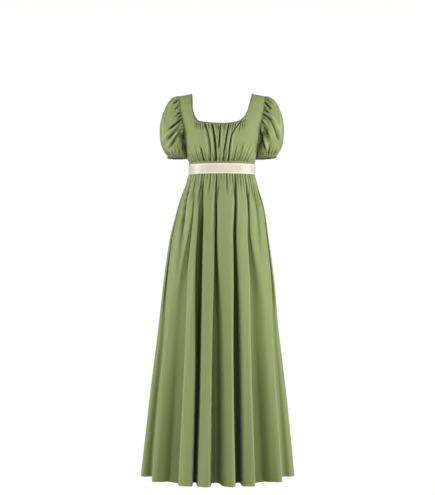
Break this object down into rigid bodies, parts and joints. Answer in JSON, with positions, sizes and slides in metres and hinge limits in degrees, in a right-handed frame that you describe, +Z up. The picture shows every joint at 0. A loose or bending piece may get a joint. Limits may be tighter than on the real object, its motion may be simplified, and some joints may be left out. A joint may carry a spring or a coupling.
{
  "type": "regency gown",
  "caption": "Floor-length high-waisted gown with a rounded-square gathered neckline, short puff sleeves, a cream ribbon at the waist and a full gathered skirt.",
  "frame": {"origin": "midway between the shoulder straps, level with their top, where a wearer's shoulders or a hanger hold the gown", "axes": "+Z up the gown, -Y out of its front, +X towards the wearer's left"},
  "size_m": [0.5629, 0.5139, 1.3983],
  "materials": {
    "bodice_front_crepe": "matte sage-green crepe",
    "bodice_back_crepe": "matte sage-green crepe",
    "neck_binding_bias": "matte olive-edged bias binding",
    "sleeve_left_crepe": "matte sage-green crepe",
    "sleeve_right_crepe": "matte sage-green crepe",
    "cuff_left_bias": "matte olive-edged bias casing",
    "cuff_right_bias": "matte olive-edged bias casing",
    "waistband_crepe": "matte sage-green crepe",
    "waist_ribbon_satin": "cream satin with woven edges",
    "skirt_front_crepe": "matte sage-green crepe",
    "skirt_back_left_crepe": "matte sage-green crepe",
    "skirt_back_right_crepe": "matte sage-green crepe"
  },
  "bodies": {
    "root": {"bodice_front": "bodice_front_crepe", "bodice_back": "bodice_back_crepe", "neck_binding": "neck_binding_bias", "sleeve_left": "sleeve_left_crepe", "sleeve_right": "sleeve_right_crepe", "cuff_left": "cuff_left_bias", "cuff_right": "cuff_right_bias", "waistband": "waistband_crepe", "waist_ribbon": "waist_ribbon_satin", "skirt_front": "skirt_front_crepe", "skirt_back_left": "skirt_back_left_crepe", "skirt_back_right": "skirt_back_right_crepe"}
  },
  "joints": []
}
